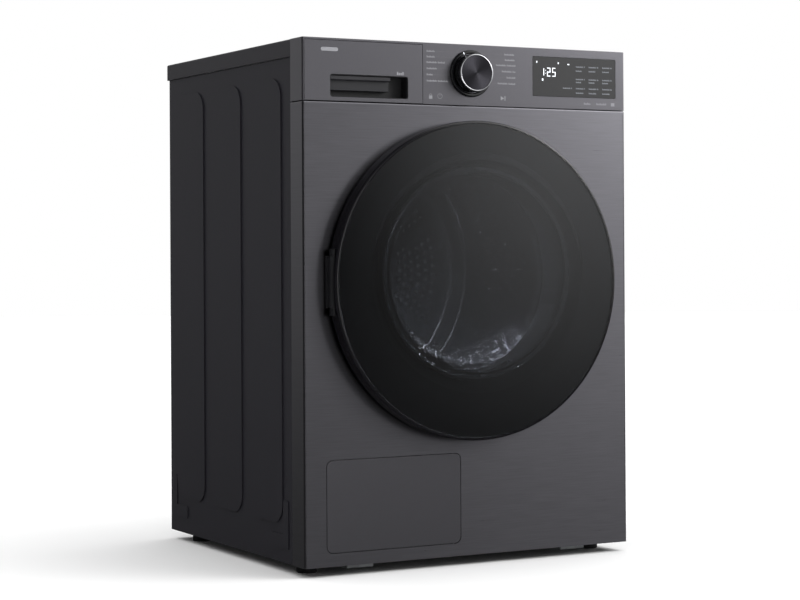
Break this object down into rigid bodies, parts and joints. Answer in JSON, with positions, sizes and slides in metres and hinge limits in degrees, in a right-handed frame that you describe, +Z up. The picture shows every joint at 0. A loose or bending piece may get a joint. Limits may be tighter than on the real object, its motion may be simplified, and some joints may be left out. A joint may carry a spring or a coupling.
{
  "type": "heat pump tumble dryer",
  "caption": "Freestanding front-loading heat-pump laundry dryer with a round glass door, programme knob, water tank drawer and service flap.",
  "frame": {"origin": "centre of the whole box at floor level, under the feet", "axes": "+Z up, the door faces -Y, +X to the right as seen from the front"},
  "size_m": [0.6, 0.6334, 0.85],
  "materials": {
    "aluminium": "mill finish",
    "black_gloss": "gloss black",
    "black_plastic": "black moulding",
    "black_rubber": "matt rubber",
    "brushed_dark_steel": "brushed dark grey coated steel",
    "clear_glass": "clear pressed glass",
    "dark_paint": "satin dark grey paint",
    "door_glass": "smoked glass",
    "fascia_plastic": "metallic dark grey moulding",
    "galvanised_steel": "galvanised sheet",
    "green_board": "printed circuit board",
    "grey_felt": "pressed felt",
    "grey_plastic": "grey moulding",
    "stainless_steel": "satin stainless steel",
    "white_plastic": "natural moulding"
  },
  "bodies": {
    "root": {"base_pan": "black_plastic", "compressor": "black_plastic", "condensate_hose": "grey_plastic", "condensate_pump": "white_plastic", "condenser": "aluminium", "control_board": "green_board", "control_panel": "fascia_plastic", "display_window": "black_gloss", "drum_belt": "black_rubber", "evaporator": "aluminium", "exchanger_cover": "grey_plastic", "exchanger_housing": "black_plastic", "fan_housing": "grey_plastic", "flap_hinge_rod": "galvanised_steel", "front_bracket_left": "galvanised_steel", "front_bracket_right": "galvanised_steel", "front_bulkhead": "grey_plastic", "front_felt_seal": "grey_felt", "front_panel": "brushed_dark_steel", "hinge_block": "black_plastic", "hinge_pin": "stainless_steel", "knob_bezel": "black_gloss", "latch_catch": "black_plastic", "left_side_panel": "dark_paint", "motor": "galvanised_steel", "power_inlet": "black_rubber", "rear_bearing": "white_plastic", "rear_duct_cover": "galvanised_steel", "rear_panel": "galvanised_steel", "right_side_panel": "dark_paint", "tank_guide": "grey_plastic", "worktop": "dark_paint"},
    "drum": {"drum_shell": "stainless_steel", "drum_back": "stainless_steel", "drum_shaft": "stainless_steel", "drum_lifter_1": "stainless_steel", "drum_lifter_2": "stainless_steel", "drum_lifter_3": "stainless_steel"},
    "rotor": {"motor_shaft": "stainless_steel", "fan_wheel": "black_plastic"},
    "roller_left": {"drum_roller_left": "black_rubber"},
    "roller_right": {"drum_roller_right": "black_rubber"},
    "door": {"door_ring": "black_gloss", "door_glass": "door_glass", "door_inner_frame": "black_plastic", "door_bowl": "clear_glass", "door_seal": "black_rubber", "latch_hook": "grey_plastic", "door_hinge_arm": "dark_paint"},
    "tank_drawer": {"tank_drawer_front": "fascia_plastic", "water_tank": "white_plastic"},
    "knob": {"programme_knob": "stainless_steel"},
    "flap": {"service_flap": "fascia_plastic"},
    "filter": {"lint_filter": "grey_plastic"},
    "lever_left": {"cover_lever_left": "white_plastic"},
    "lever_right": {"cover_lever_right": "white_plastic"},
    "levelling_foot_front_left": {"foot_front_left": "black_rubber"},
    "levelling_foot_front_right": {"foot_front_right": "black_rubber"},
    "levelling_foot_rear_left": {"foot_rear_left": "black_rubber"},
    "levelling_foot_rear_right": {"foot_rear_right": "black_rubber"}
  },
  "joints": [
    {"name": "door_hinge", "type": "hinge", "parent": "root", "child": "door", "pos_m": [-0.2565, -0.29985, 0.4645], "axis": [0, 0, -1], "range_deg": [0, 120]},
    {"name": "drum_spin", "type": "hinge", "parent": "root", "child": "drum", "pos_m": [0, 0.00465, 0.477], "axis": [0, 1, 0], "continuous": true},
    {"name": "motor_spin", "type": "hinge", "parent": "root", "child": "rotor", "pos_m": [0.205, -0.03335, 0.13], "axis": [0, 1, 0], "continuous": true},
    {"name": "roller_left_spin", "type": "hinge", "parent": "root", "child": "roller_left", "pos_m": [-0.17052, -0.19935, 0.23347], "axis": [0, 1, 0], "continuous": true},
    {"name": "roller_right_spin", "type": "hinge", "parent": "root", "child": "roller_right", "pos_m": [0.17052, -0.19935, 0.23347], "axis": [0, 1, 0], "continuous": true},
    {"name": "tank_slide", "type": "slide", "parent": "root", "child": "tank_drawer", "axis": [0, -1, 0], "range_m": [0, 0.42]},
    {"name": "knob_turn", "type": "hinge", "parent": "root", "child": "knob", "pos_m": [0.001, -0.29335, 0.8025], "axis": [0, 1, 0], "continuous": true},
    {"name": "flap_hinge", "type": "hinge", "parent": "root", "child": "flap", "pos_m": [-0.1415, -0.27935, 0.0485], "axis": [1, 0, 0], "range_deg": [0, 90]},
    {"name": "filter_lift", "type": "slide", "parent": "root", "child": "filter", "axis": [0, 0, 1], "range_m": [0, 0.11]},
    {"name": "lever_left_turn", "type": "hinge", "parent": "root", "child": "lever_left", "pos_m": [-0.2055, -0.24935, 0.1], "axis": [0, 1, 0], "range_deg": [0, 90]},
    {"name": "lever_right_turn", "type": "hinge", "parent": "root", "child": "lever_right", "pos_m": [-0.064, -0.24935, 0.1], "axis": [0, -1, 0], "range_deg": [0, 90]},
    {"name": "foot_front_left_turn", "type": "hinge", "parent": "root", "child": "levelling_foot_front_left", "pos_m": [-0.265, -0.21335, 0.0065], "axis": [0, 0, 1], "continuous": true},
    {"name": "foot_front_right_turn", "type": "hinge", "parent": "root", "child": "levelling_foot_front_right", "pos_m": [0.265, -0.21335, 0.0065], "axis": [0, 0, 1], "continuous": true},
    {"name": "foot_rear_left_turn", "type": "hinge", "parent": "root", "child": "levelling_foot_rear_left", "pos_m": [-0.265, 0.23165, 0.0065], "axis": [0, 0, 1], "continuous": true},
    {"name": "foot_rear_right_turn", "type": "hinge", "parent": "root", "child": "levelling_foot_rear_right", "pos_m": [0.265, 0.23165, 0.0065], "axis": [0, 0, 1], "continuous": true}
  ],
  "couplings": [
    {"joint": "motor_spin", "follows": "drum_spin", "ratio": 21.76},
    {"joint": "roller_left_spin", "follows": "drum_spin", "ratio": -10.88},
    {"joint": "roller_right_spin", "follows": "drum_spin", "ratio": -10.88}
  ]
}
